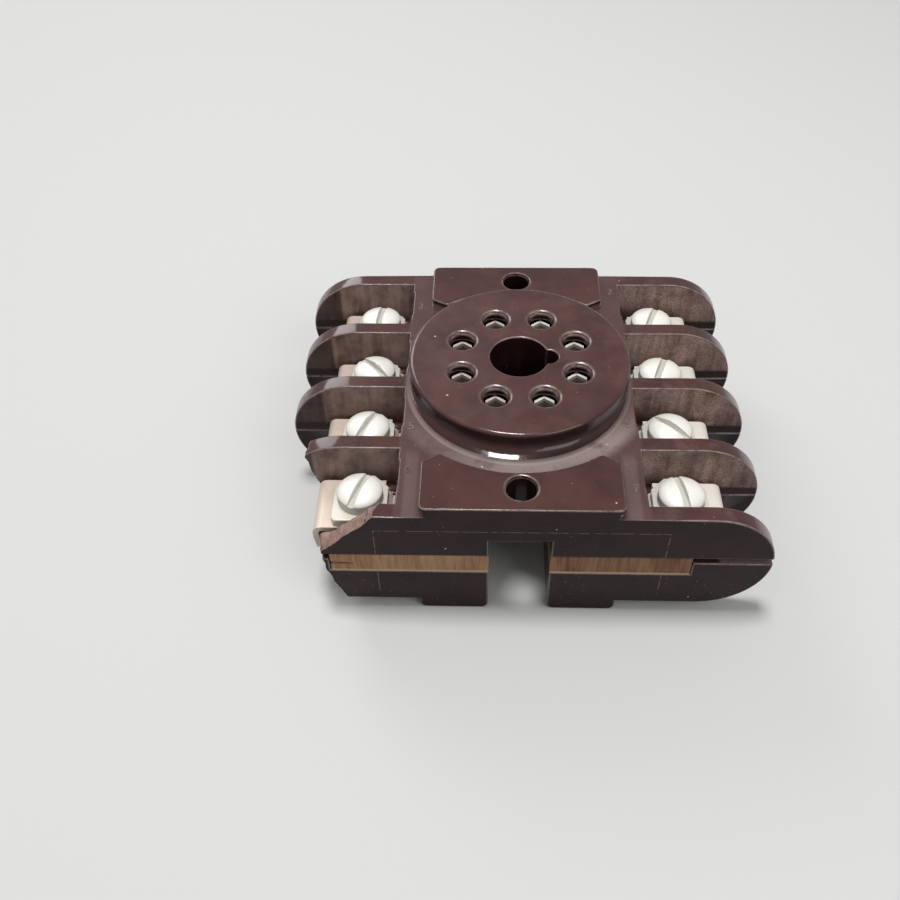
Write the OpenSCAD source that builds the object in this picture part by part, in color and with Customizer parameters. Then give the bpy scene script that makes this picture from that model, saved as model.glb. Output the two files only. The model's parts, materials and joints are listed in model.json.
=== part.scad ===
// Screw terminal socket for an eight-pin plug-in relay.
// An upper moulding carries eight contact strips. Two base mouldings close it from below,
// each with a sheet of pressed paper board between the halves, and a channel runs between them.
// The front left corner has been knocked off, with the ends of two barrier walls.
// Millimetres. X runs across the two rows of terminals, Y from front to back and Z upwards.
// The origin lies on the standing surface, under the middle of the socket.

/* [Body] */
// Width over the round ends of the barrier walls
body_w = 66.8; // [65.5:0.1:70]
// Distance from one terminal bay to the next
bay_pitch = 12; // [11.8:0.1:13.5]
// Thickness of the barrier walls between the bays
barrier_t = 2.4; // [1.8:0.1:2.6]
// Height of the body from its underside to its top face, without the feet
body_h = 18; // [17.6:0.1:19]
// Height of the two base mouldings, without the feet
base_h = 9; // [8.8:0.1:9.4]
// Height of the feet below the underside
foot_h = 2; // [1.4:0.1:3]
// Width of each foot
foot_w = 9.5; // [8.6:0.1:11]
// Distance between the inner walls of two opposite bays
bay_inner_w = 32.6; // [32:0.1:33.2]

/* [Top] */
// Diameter of the round pedestal that the relay stands on
disc_d = 31; // [30:0.1:31.8]
// Height of the pedestal above the top face
disc_h = 5; // [4:0.1:6]
// Rounding of the pedestal's rim
disc_round = 0.6; // [0.3:0.1:1]
// Width of the front and back blocks
block_w = 26.2; // [24:0.1:27.6]
// Height of the blocks above the top face
block_h = 1.7; // [1:0.1:3]
// Diameter of the round relief in the blocks, around the pedestal
relief_d = 37.7; // [36.5:0.1:39]

/* [Plug holes] */
// Circle that the eight pin holes lie on
pin_circle_d = 17.45; // [17.2:0.05:17.7]
// Diameter of each pin hole
pin_hole_d = 3.4; // [3:0.05:3.6]
// Diameter of the flared mouth of each pin hole
pin_mouth_d = 4.3; // [3.8:0.05:4.6]
// Thickness of the pedestal's top over the contact wells
well_roof = 1.5; // [1.2:0.1:2.2]
// Diameter of the hole for the guide post
key_d = 8.2; // [8:0.05:8.4]
// Width of the keyway
key_notch_w = 2.8; // [2.2:0.1:3]
// Distance from the middle of the socket to the end of the keyway
key_reach = 5.5; // [5:0.05:5.6]

/* [Mounting] */
// Distance between the two mounting holes
mount_spacing = 43; // [42:0.1:44]
// Diameter of the mounting holes
mount_hole_d = 3.9; // [3.2:0.1:4.4]
// Width of the channel under the socket
channel_w = 8.2; // [7.6:0.1:8.6]
// Height of the channel above the standing surface
channel_h = 15.2; // [14.6:0.1:15.6]

/* [Insulating sheets] */
// Thickness of the sheets
sheet_t = 3.5; // [3.1:0.1:3.9]
// How far the sheets stand above the joint between the mouldings
sheet_proud = 1; // [0.8:0.1:1.2]
// Distance from the edge of the bay floor back to the outer edge of the sheets
sheet_inset = 1.3; // [1:0.1:1.6]
// Distance from the middle to where the sheets end in the front and back faces
window_reach = 22.9; // [21:0.1:24]
// Depth of the shadow groove along the joint, in the front and back faces
groove_depth = 1; // [0.6:0.1:1.4]

/* [Contact strips] */
// Distance from the inner wall of a bay to its terminal screw
terminal_inset = 5.2; // [5:0.1:5.6]
// Thickness of the strip metal
strip_t = 0.8; // [0.6:0.05:0.9]
// Width of the strip in its bay
strip_w = 8.4; // [7.6:0.1:8.8]
// Width of the strip under the moulding
tail_w = 3; // [2.4:0.1:3.4]
// Thickness of the bay floor above the sheets
floor_t = 1.2; // [1:0.1:1.4]
// Distance from the terminal screw to the outer face of the strip's turned-down end
strip_overhang = 6.3; // [6:0.1:6.6]
// Depth of the turned-down end of each strip
hook_h = 4.2; // [3.4:0.1:4.6]
// Diameter of the plug pins that the contacts grip
plug_pin_d = 2.36; // [2.3:0.01:2.4]
// Thickness of the contact leaves
leaf_t = 0.4; // [0.3:0.05:0.5]

/* [Terminal screws] */
// Diameter of the thread
screw_d = 3.5; // [3:0.1:3.6]
// Diameter of the screw heads
head_d = 6.2; // [5.8:0.1:6.8]
// Height of the screw heads, over the dome
head_h = 2.4; // [2:0.1:2.6]
// Rise of the dome on the screw heads
head_dome = 0.9; // [0.6:0.1:1.1]
// Length of the screws under the head
screw_len = 8.2; // [7.6:0.1:8.6]
// Width of the driver slot
slot_w = 0.9; // [0.7:0.1:1.2]
// Depth of the driver slot
slot_depth = 1.1; // [0.8:0.1:1.4]

/* [Clamp plates] */
// Length of the clamp plates, along the strip
clamp_l = 7.4; // [6.8:0.1:7.6]
// Width of the clamp plates, across the strip
clamp_w = 8; // [7:0.1:8.6]
// Overall height of the clamp plates
clamp_h = 1.3; // [1.1:0.1:1.5]
// Depth of the wire trough under the clamp plates
clamp_trough = 0.5; // [0.3:0.1:0.6]
// Size of the slanted back corners of the clamp plates
clamp_clip = 2; // [1.4:0.1:2.2]

/* [Base screws] */
// Diameter of the screws that hold the base mouldings
base_screw_d = 3.9; // [3.4:0.1:4.2]
// Length of those screws under the head
base_screw_len = 14.5; // [13:0.1:16]
// Distance between them across the socket
base_screw_x = 18; // [17.6:0.1:18.6]
// Distance between them from front to back
base_screw_y = 41; // [39:0.1:42]

/* [Clearances] */
// Running clearance of a thread in its hole, on the radius
thread_fit = 0.04; // [0.02:0.01:0.08]
// Clearance around the sheets and strips in their recesses
seat_fit = 0.15; // [0.1:0.05:0.2]
// Clearance around parts that pass through a hole
pass_fit = 0.2; // [0.15:0.05:0.3]

/* [Hidden] */
$fn = 96;
eps = 0.01;
far = 60;
sides = ["left", "right"];
rows = [1, 2, 3, 4];

// Levels, from the standing surface upwards
joint_z = foot_h + base_h;
mid_z = foot_h + body_h / 2;
top_z = foot_h + body_h;
block_z = top_z + block_h;
disc_z = top_z + disc_h;
sheet_z = joint_z + sheet_proud;
floor_z = sheet_z + floor_t;
strip_z = floor_z + strip_t;
clamp_z = strip_z + clamp_h;
well_z = disc_z - well_roof;
base_seat_z = foot_h + 1;
base_hole_z = base_seat_z + base_screw_len + 0.6;

// Plan
body_l = len(rows) * bay_pitch + barrier_t;
front_y = -body_l / 2;
bay_w = bay_pitch - barrier_t;
end_r = body_h / 2;
end_x = body_w / 2 - end_r;
bay_x = bay_inner_w / 2;
terminal_x = bay_x + terminal_inset;
hook_x = terminal_x + strip_overhang;
channel_x = channel_w / 2;

// The bay floor and the side of the base mouldings keep clear of the turned-down strip ends
bend_r = strip_t + 0.4;
floor_x = hook_x - strip_t - pass_fit;
floor_round = 0.6;
sheet_reach = floor_x - sheet_inset;
base_side_top = floor_x - 0.6;
base_side_low = base_side_top - 1;
base_side_round = 2;

// Contact strip: the step up from the sheet into the bay, and the fork around each plug pin
riser_w = 5;
riser_r = floor_t / 2;
riser_x = bay_x + 0.9;
riser_end = riser_x + 2 * riser_r;
foot_x = bay_x - 0.9;
collar_d = screw_d + 1.3;
collar_h = 1.8;
leaf_half_w = 1.35;
leaf_slope = 0.74;
leaf_top = well_z - 0.3;
well_gap = 0.5;
bridge_z = channel_h + 0.4;
well_half_x = leaf_half_w + well_gap;
well_half_y = plug_pin_d / 2 * sqrt(1 + pow(leaf_slope, 2)) + leaf_t + well_gap;
step_out = 2.3;

// Broken edges of the left barrier walls, in the front and the back face of each wall, from the
// left tip inwards and from the top face or the joint down
front_upper_edges = [
    [[14.2, 0], [12.6, 2], [11.2, 3.2], [9.7, 4.9], [8.2, 6.3], [7, 7.4], [7.1, 9]],
    [[15.2, 0], [13, 1.7], [11.3, 3.4], [10, 4.6], [8.9, 5.7], [6.6, 6.4], [6.5, 9]]
];
front_lower_edges = [
    [[7.1, 0], [7.5, 2.4], [8.1, 4.3], [8.3, 5.7], [8.9, 7.1], [9.3, 8.4], [10.3, 9]],
    [[6.5, 0], [7.1, 2.4], [8, 4.3], [8.5, 5.7], [9.2, 7.1], [9.7, 8.4], [10.7, 9]]
];
second_upper_edges = [
    [[4.1, 1], [4, 1.9], [4.2, 3], [4.5, 4.6], [4.9, 5.9], [5.4, 7], [6, 9]],
    [[4.6, 0.8], [4.3, 1.9], [4.5, 3], [4.9, 4.6], [5.3, 5.9], [5.7, 7], [6.4, 9]]
];
second_lower_edges = [[[6, 0], [6.5, 3], [7.6, 6], [8.7, 9]], [[6.4, 0], [6.9, 3], [7.9, 6], [9, 9]]];
break_slices = 4;

screw_angle = [[83, 133, 65, 70], [69, 70, 137, 99]];

// Middle of each bay, counted from the back
function row_y(n) = (len(rows) / 2 + 0.5 - n) * bay_pitch;

// Plug pin that each row on the right leads to
function pin_angle(n) = 90 - 45 * (n - 0.5);
function pin_at(n) = pin_circle_d / 2 * [cos(pin_angle(n)), sin(pin_angle(n))];

// The outer two pins lie over the channel, so their strips rise beside it
function over_channel(n) = pin_at(n)[0] < channel_x;

// Four corners of a bar of width w from point a to point b
function bar(a, b, w) =
    let (d = (b - a) / norm(b - a), n = [-d[1], d[0]] * w / 2) [a + n, b + n, b - n, a - n];

// Points of an arc about c, from angle a0 to a1
function arc(c, r, a0, a1, steps = 6) =
    [for (i = [0:steps]) c + r * [cos(a0 + (a1 - a0) * i / steps), sin(a0 + (a1 - a0) * i / steps)]];

// Draws a profile in X and Z and extrudes it from y0 to y1
module along_y(y0, y1) {
    translate([0, y1, 0])
        rotate([90, 0, 0])
            linear_extrude(y1 - y0)
                children();
}

// Draws the right-hand side, or its mirror image on the left
module on_side(s) {
    mirror([s == "left" ? 1 : 0, 0, 0])
        children();
}

module each_row() {
    for (n = rows)
        translate([0, row_y(n), 0])
            children();
}

// Outline of the barrier walls: flat top and bottom, round ends
module end_outline() {
    translate([-end_x, foot_h])
        square([2 * end_x, body_h]);
    for (x = [-end_x, end_x])
        translate([x, mid_z])
            circle(end_r);
}

// Space of one terminal bay, open at the top and outwards, over a floor with a rounded edge
module bay_space() {
    along_y(-bay_w / 2, bay_w / 2)
        difference() {
            translate([bay_x, 0])
                square([far, far]);
            translate([0, 0])
                square([floor_x - floor_round, floor_z]);
            square([floor_x, floor_z - floor_round]);
            translate([floor_x - floor_round, floor_z - floor_round])
                circle(floor_round);
        }
}

// Raised block at the front, with its round relief and the slanted corners beside it
module block_plan() {
    half = block_w / 2;
    inner_y = -relief_d / 2 + 3.2;
    difference() {
        translate([0, front_y])
            polygon(concat(
                arc([half - 1, 1], 1, -90, 0),
                [[half, inner_y - 1.3 - front_y], [half - 2.2, inner_y - front_y]],
                [[2.2 - half, inner_y - front_y], [-half, inner_y - 1.3 - front_y]],
                arc([1 - half, 1], 1, 180, 270)
            ));
        circle(d = relief_d);
    }
}

module pedestal() {
    translate([0, 0, top_z - 1])
        rotate_extrude() {
            square([disc_d / 2, disc_h + 1 - disc_round]);
            square([disc_d / 2 - disc_round, disc_h + 1]);
            translate([disc_d / 2 - disc_round, disc_h + 1 - disc_round])
                circle(disc_round, $fn = 48);
        }
}

// Hole with a flared mouth, from z0 up to z1
module flared_hole(d, mouth_d, z0, z1) {
    flare = (mouth_d - d) / 2;
    translate([0, 0, z0])
        cylinder(h = z1 - z0 + eps, d = d);
    translate([0, 0, z1 - flare])
        cylinder(h = flare + eps, d1 = d, d2 = mouth_d + 2 * eps);
}

// Guide post hole with its round keyway
module key_hole() {
    translate([0, 0, channel_h - 1])
        cylinder(h = far, d = key_d);
    translate([key_reach - key_notch_w / 2, 0, channel_h - 1])
        cylinder(h = far, d = key_notch_w);
}

module channel_space() {
    translate([-channel_x, -far / 2, -far + channel_h])
        cube([channel_w, far, far]);
}

// Outline of a sheet in its recess: shorter in the front and back faces
module sheet_plan(fit = 0) {
    back_x = sheet_reach - fit;
    face_x = window_reach - fit;
    depth = groove_depth + fit;
    polygon([
        [channel_x, front_y], [face_x, front_y], [face_x, front_y + depth], [back_x, front_y + depth],
        [back_x, -front_y - depth], [face_x, -front_y - depth], [face_x, -front_y], [channel_x, -front_y]
    ]);
}

// Corner of the left sheet that the broken moulding has laid bare
module bared_corner_plan(fit = 0) {
    translate([window_reach - 1, front_y])
        square([sheet_reach - fit - window_reach + 1, groove_depth + 1]);
}

// Plan of a strip under the upper moulding, from the bay to its plug pin
module tail_plan(n, grow = 0) {
    pin = pin_at(n);
    end = over_channel(n) ? [pin[0] + step_out, pin[1]] : pin;
    start = [foot_x, row_y(n)];
    polygon(bar(start, end, tail_w + 2 * grow));
    translate(start - [grow, riser_w / 2 + grow])
        square([riser_x - foot_x + grow, riser_w + 2 * grow]);
    translate(end)
        square(tail_w + 2 * grow, center = true);
    translate(start)
        circle(d = tail_w + 2 * grow);
}

// Well around the contact fork, open towards the sheet or the channel
module well_space(n) {
    pin = pin_at(n);
    reach = over_channel(n) ? step_out + tail_w / 2 : well_half_x;
    translate([pin[0] - well_half_x, pin[1] - well_half_y, sheet_z - eps])
        cube([well_half_x + reach + seat_fit, 2 * well_half_y, well_z - sheet_z + eps]);
}

// Everything that one strip and its screw need in the upper moulding
module strip_space(n) {
    translate([0, 0, sheet_z - eps])
        linear_extrude(strip_t + seat_fit)
            tail_plan(n, seat_fit);
    well_space(n);
    translate([pin_at(n)[0], pin_at(n)[1], 0])
        flared_hole(pin_hole_d, pin_mouth_d, well_z - eps, disc_z);
    translate([bay_x - seat_fit, row_y(n) - riser_w / 2 - seat_fit, sheet_z - eps])
        cube([riser_end + 0.1 - bay_x + seat_fit, riser_w + 2 * seat_fit, far]);
    translate([terminal_x, row_y(n), joint_z])
        cylinder(h = far, d = collar_d + 2 * pass_fit);
}

// Shadow groove along the joint in the front and back faces, beyond the sheets
module joint_groove() {
    for (m = [0, 1])
        mirror([0, m, 0])
            translate([window_reach, front_y - 1, joint_z - eps])
                cube([far, groove_depth + 1, sheet_proud + eps]);
}

// The lost end of a barrier wall: all that lies left of its broken edge. The break changes from
// the front edge to the back edge in steps through the wall.
module lost_end(edges, from_z, wall) {
    y0 = front_y + wall * bay_pitch;
    slice = barrier_t / break_slices;
    for (i = [0:break_slices - 1]) {
        part = (i + 0.5) / break_slices;
        edge = edges[0] * (1 - part) + edges[1] * part;
        low = edge[len(edge) - 1];
        above = from_z + 1;
        below = from_z - low[1] - 1;
        translate([-body_w / 2, 0, 0])
            along_y(y0 + i * slice - (i == 0 ? 1 : eps), y0 + (i + 1) * slice)
                polygon(concat(
                    [[-2, below], [-2, above], [edge[0][0], above]],
                    [for (p = edge) [p[0], from_z - p[1]]],
                    [[low[0], below]]
                ));
    }
}

module upper_moulding() {
    color([0.24, 0.14, 0.12])
        difference() {
            union() {
                along_y(front_y, -front_y)
                    intersection() {
                        end_outline();
                        translate([-far, joint_z])
                            square([2 * far, far]);
                    }
                pedestal();
                for (m = [0, 1])
                    mirror([0, m, 0])
                        translate([0, 0, top_z - 1])
                            linear_extrude(block_h + 1)
                                block_plan();
            }
            for (s = sides)
                on_side(s) {
                    each_row()
                        bay_space();
                    for (n = rows)
                        strip_space(n);
                    translate([0, 0, joint_z - 1])
                        linear_extrude(sheet_proud + 1)
                            sheet_plan();
                    for (m = [-1, 1])
                        translate([base_screw_x / 2, m * base_screw_y / 2, 0])
                            cylinder(h = base_hole_z, d = base_screw_d + 2 * thread_fit);
                    joint_groove();
                }
            key_hole();
            channel_space();
            for (m = [-1, 1])
                translate([0, m * mount_spacing / 2, 0])
                    flared_hole(mount_hole_d, mount_hole_d + 0.5, 0, block_z);
            on_side("left")
                translate([0, 0, joint_z - 1])
                    linear_extrude(sheet_proud + 1)
                        bared_corner_plan();
            lost_end(front_upper_edges, top_z, 0);
            lost_end(second_upper_edges, top_z, 1);
        }
}

// Side of a base moulding between its barrier walls, and the space outside it
module base_bay_space() {
    along_y(-bay_w / 2, bay_w / 2)
        difference() {
            translate([base_side_low - base_side_round, 0])
                square([far, far]);
            polygon(concat(
                [[0, far], [base_side_top, far], [base_side_top, joint_z]],
                arc([base_side_low - base_side_round, foot_h + base_side_round], base_side_round, 0, -90),
                [[0, foot_h]]
            ));
        }
}

// Foot along the channel, with rounded lower edges
module foot_profile() {
    round_r = 1;
    translate([channel_x, round_r])
        square([foot_w, foot_h]);
    translate([channel_x + round_r, 0])
        square([foot_w - 2 * round_r, foot_h]);
    for (x = [round_r, foot_w - round_r])
        translate([channel_x + x, round_r])
            circle(round_r, $fn = 48);
}

module base_moulding(s) {
    color([0.22, 0.13, 0.11])
        difference() {
            on_side(s)
                difference() {
                    along_y(front_y, -front_y) {
                        intersection() {
                            end_outline();
                            translate([channel_x, 0])
                                square([far, joint_z]);
                        }
                        foot_profile();
                    }
                    each_row()
                        base_bay_space();
                    translate([0, 0, sheet_z - sheet_t])
                        linear_extrude(far)
                            sheet_plan();
                    for (n = rows)
                        translate([terminal_x, row_y(n), sheet_z - sheet_t - 3])
                            cylinder(h = far, d = collar_d + 2 * pass_fit);
                    for (m = [-1, 1])
                        translate([base_screw_x / 2, m * base_screw_y / 2, -1]) {
                            cylinder(h = far, d = base_screw_d + 2 * pass_fit);
                            cylinder(h = base_seat_z + 1, d = base_screw_d * 1.8 + 2 * pass_fit);
                        }
                }
            if (s == "left") {
                on_side(s)
                    translate([0, 0, sheet_z - sheet_t])
                        linear_extrude(far)
                            bared_corner_plan();
                lost_end(front_lower_edges, joint_z, 0);
                lost_end(second_lower_edges, joint_z, 1);
            }
        }
}

module insulating_sheet(s) {
    color([0.66, 0.48, 0.35])
        on_side(s)
            difference() {
                translate([0, 0, sheet_z - sheet_t])
                    linear_extrude(sheet_t) {
                        sheet_plan(seat_fit);
                        if (s == "left")
                            bared_corner_plan(seat_fit);
                    }
                for (n = rows)
                    translate([terminal_x, row_y(n), 0])
                        cylinder(h = far, d = collar_d + 2 * pass_fit);
                for (m = [-1, 1])
                    translate([base_screw_x / 2, m * base_screw_y / 2, 0])
                        cylinder(h = far, d = base_screw_d + 2 * pass_fit);
                if (s == "left")
                    split_space();
            }
}

// The sheet's plies have come apart at the broken corner
module split_space() {
    low = sheet_z - 0.63 * sheet_t;
    along_y(front_y - 1, front_y + 1.6)
        polygon([
            [window_reach - 0.8, low + 0.15], [window_reach - 0.6, low + 0.45],
            [sheet_reach + 1, low + 0.85], [sheet_reach + 1, low], [sheet_reach - 0.9, low + 0.1]
        ]);
}

// Strip profile in its bay: up from the sheet, outwards over the floor and down past its edge
module strip_profile() {
    mid = [sheet_z + strip_t / 2, floor_z + strip_t / 2];
    low_end = [hook_x - strip_t - 0.25, strip_z - hook_h];
    outer_x = hook_x - strip_t / 2;
    bend_c = [outer_x - bend_r + strip_t / 2, mid[1] - bend_r + strip_t / 2];
    path_r = bend_r - strip_t / 2;
    path = concat(
        [[foot_x, mid[0]]],
        arc([riser_x, mid[0] + riser_r], riser_r, -90, 0),
        arc([riser_end, mid[0] + riser_r], riser_r, 180, 90),
        arc(bend_c, path_r, 90, 0),
        [[outer_x, bend_c[1] - 0.9], low_end + [strip_t / 2, 0]]
    );
    last = len(path) - 1;
    dir = [for (i = [0:last]) path[min(i + 1, last)] - path[max(i - 1, 0)]];
    side = [for (d = dir) [-d[1], d[0]] / norm(d) * strip_t / 2];
    polygon(concat(
        [for (i = [0:last]) path[i] + side[i]],
        [for (i = [last:-1:0]) path[i] - side[i]]
    ));
}

// Two leaves, bent like a roof in plan, that grip a plug pin between them
module contact_fork(base_z) {
    stretch = sqrt(1 + pow(leaf_slope, 2));
    inner = plug_pin_d / 2 * stretch;
    outer = inner + leaf_t * stretch;
    drop = leaf_half_w * leaf_slope;
    for (m = [0, 1])
        mirror([0, m, 0])
            translate([0, 0, base_z])
                linear_extrude(leaf_top - base_z)
                    polygon([
                        [0, outer], [leaf_half_w, outer - drop], [leaf_half_w, inner - drop],
                        [0, inner], [-leaf_half_w, inner - drop], [-leaf_half_w, outer - drop]
                    ]);
    translate([-leaf_half_w, -outer, base_z])
        cube([2 * leaf_half_w, 2 * outer, strip_t]);
}

module contact_strip(s, n) {
    pin = pin_at(n);
    fork_z = over_channel(n) ? bridge_z : sheet_z;
    color([0.80, 0.78, 0.72])
        on_side(s)
            difference() {
                union() {
                    linear_strip(n);
                    translate([0, 0, sheet_z])
                        linear_extrude(strip_t)
                            tail_plan(n);
                    translate(pin)
                        contact_fork(fork_z);
                    if (over_channel(n)) {
                        translate([pin[0], pin[1] - tail_w / 2, bridge_z])
                            cube([step_out, tail_w, strip_t]);
                        translate([pin[0] + step_out - strip_t / 2, pin[1] - tail_w / 2, sheet_z])
                            cube([strip_t, tail_w, bridge_z + strip_t - sheet_z]);
                    }
                    translate([terminal_x, row_y(n), strip_z - strip_t - collar_h])
                        cylinder(h = collar_h + strip_t / 2, d = collar_d);
                }
                translate([terminal_x, row_y(n), 0])
                    cylinder(h = far, d = screw_d + 2 * thread_fit);
            }
}

// The bent part of a strip: narrow at the riser, full width in the bay
module linear_strip(n) {
    translate([0, row_y(n), 0]) {
        along_y(-strip_w / 2, strip_w / 2)
            intersection() {
                strip_profile();
                translate([riser_end, 0])
                    square(far);
            }
        along_y(-riser_w / 2, riser_w / 2)
            intersection() {
                strip_profile();
                square([riser_end + 1, far]);
            }
    }
}

// Plate that presses the wire onto the strip, with a lip along each side and slanted back corners
module clamp_plate(s, n) {
    lip = 0.9;
    half_l = clamp_l / 2;
    half_w = clamp_w / 2;
    corner = 0.7;
    color([0.86, 0.85, 0.80])
        on_side(s)
            translate([terminal_x, row_y(n), 0])
                difference() {
                    translate([0, 0, strip_z])
                        linear_extrude(clamp_h)
                            polygon(concat(
                                [[half_l, half_w - clamp_clip], [half_l - clamp_clip, half_w]],
                                [[clamp_clip - half_l, half_w], [-half_l, half_w - clamp_clip]],
                                arc([corner - half_l, corner - half_w], corner, 180, 270),
                                arc([half_l - corner, corner - half_w], corner, 270, 360)
                            ));
                    translate([-far / 2, lip - half_w, strip_z - 1])
                        cube([far, clamp_w - 2 * lip, clamp_trough + 1]);
                    cylinder(h = far, d = screw_d + 2 * pass_fit);
                }
}

// Slotted screw with a low domed head
module terminal_screw(s, n) {
    dome_r = (pow(head_d / 2, 2) + pow(head_dome, 2)) / (2 * head_dome);
    angle = screw_angle[s == "left" ? 0 : 1][n - 1];
    x = s == "left" ? -terminal_x : terminal_x;
    color([0.90, 0.89, 0.84])
        translate([x, row_y(n), clamp_z])
            difference() {
                union() {
                    rotate_extrude()
                        polygon(concat(
                            [[0, 0], [head_d / 2, 0]],
                            arc([0, head_h - dome_r], dome_r, acos(head_d / 2 / dome_r), 90, 8)
                        ));
                    translate([0, 0, -screw_len])
                        cylinder(h = screw_len + eps, d = screw_d);
                }
                rotate([0, 0, angle])
                    translate([-head_d, -slot_w / 2, head_h - slot_depth])
                        cube([2 * head_d, slot_w, far]);
            }
}

// Screw that holds a base moulding and its sheet to the upper moulding
module base_screw(s, p) {
    head = base_screw_d * 0.55;
    y = p == "front" ? -base_screw_y / 2 : base_screw_y / 2;
    color([0.72, 0.71, 0.68])
        on_side(s)
            translate([base_screw_x / 2, y, base_seat_z])
                difference() {
                    union() {
                        cylinder(h = base_screw_len, d = base_screw_d);
                        translate([0, 0, -head])
                            cylinder(h = head, d = base_screw_d * 1.8);
                    }
                    rotate([0, 0, 25])
                        translate([-far / 2, -slot_w / 2, -head - 1])
                            cube([far, slot_w, 1 + head / 2]);
                }
}

upper_moulding();
for (s = sides) {
    base_moulding(s);
    insulating_sheet(s);
    for (n = rows) {
        contact_strip(s, n);
        clamp_plate(s, n);
        terminal_screw(s, n);
    }
    for (p = ["front", "back"])
        base_screw(s, p);
}
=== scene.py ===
"""Dresses a screw terminal socket for a plug-in relay and lights it for a portrait.

Lengths inside the classes are in millimetres and become metres where a mesh is written. X runs
across the two rows of terminals, Y from front to back and Z upwards from the standing surface.
"""

from __future__ import annotations

import json
import logging
import math
from dataclasses import dataclass
from enum import Enum
from typing import Any, Union

import bmesh
import bpy
import numpy as np
from mathutils import Matrix, Vector

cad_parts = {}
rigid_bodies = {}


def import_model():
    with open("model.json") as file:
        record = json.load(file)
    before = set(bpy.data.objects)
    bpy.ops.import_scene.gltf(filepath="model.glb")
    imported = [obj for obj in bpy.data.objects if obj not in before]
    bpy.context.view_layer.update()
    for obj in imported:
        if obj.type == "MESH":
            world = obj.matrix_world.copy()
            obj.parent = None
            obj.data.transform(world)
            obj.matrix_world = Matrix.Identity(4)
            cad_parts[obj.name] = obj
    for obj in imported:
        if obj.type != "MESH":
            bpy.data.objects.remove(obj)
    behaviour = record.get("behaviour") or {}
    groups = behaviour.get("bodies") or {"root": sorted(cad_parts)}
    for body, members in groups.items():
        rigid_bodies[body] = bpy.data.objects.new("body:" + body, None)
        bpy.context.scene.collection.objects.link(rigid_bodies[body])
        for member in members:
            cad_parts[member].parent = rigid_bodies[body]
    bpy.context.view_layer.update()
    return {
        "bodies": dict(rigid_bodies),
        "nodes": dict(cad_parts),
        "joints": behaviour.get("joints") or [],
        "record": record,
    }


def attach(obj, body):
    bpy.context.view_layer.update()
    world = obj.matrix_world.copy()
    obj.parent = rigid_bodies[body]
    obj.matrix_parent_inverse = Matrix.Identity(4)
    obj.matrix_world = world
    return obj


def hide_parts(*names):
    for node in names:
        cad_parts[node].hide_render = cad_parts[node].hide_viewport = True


LOG = logging.getLogger("socket")
MM = 0.001
ROWS = (1, 2, 3, 4)

Colour = tuple[float, float, float]


class Side(Enum):
    """The two rows of terminals, with the sign of X on each side."""

    LEFT = -1
    RIGHT = 1

    @property
    def word(self) -> str:
        """The side's name as the nodes spell it."""
        return self.name.lower()


# ---------------------------------------------------------------------------
# Shader maths
# ---------------------------------------------------------------------------


@dataclass(frozen=True)
class Value:
    """A number that varies over a surface. Python's operators on it add Math nodes."""

    bench: "Bench"
    socket: bpy.types.NodeSocket

    def __add__(self, other: "Number") -> "Value":
        """Sum of two values."""
        return self.bench.maths("ADD", self, other)

    def __sub__(self, other: "Number") -> "Value":
        """Difference of two values."""
        return self.bench.maths("SUBTRACT", self, other)

    def __rsub__(self, other: "Number") -> "Value":
        """A number less this value."""
        return self.bench.maths("SUBTRACT", other, self)

    def __mul__(self, other: "Number") -> "Value":
        """Product of two values."""
        return self.bench.maths("MULTIPLY", self, other)

    def __pow__(self, other: "Number") -> "Value":
        """This value raised to a power."""
        return self.bench.maths("POWER", self, other)

    def __abs__(self) -> "Value":
        """Distance from zero."""
        return self.bench.maths("ABSOLUTE", self)

    def __neg__(self) -> "Value":
        """This value with its sign turned."""
        return self.bench.maths("MULTIPLY", self, -1.0)

    __radd__ = __add__
    __rmul__ = __mul__

    def over(self, low: float, high: float) -> "Value":
        """Rises smoothly from 0 at low to 1 at high.

        Args:
            low: Where the rise starts.
            high: Where it ends. It may be the smaller of the two, and the value then falls.

        Returns:
            A value from 0 to 1.
        """
        return self.bench.rise(self, low, high)

    def near(self, middle: float, half: float) -> "Value":
        """Is 1 at a level and falls smoothly to 0 at half a width from it."""
        return abs(self - middle).over(half, 0.45 * half)


Number = Union[float, Value]


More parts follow.
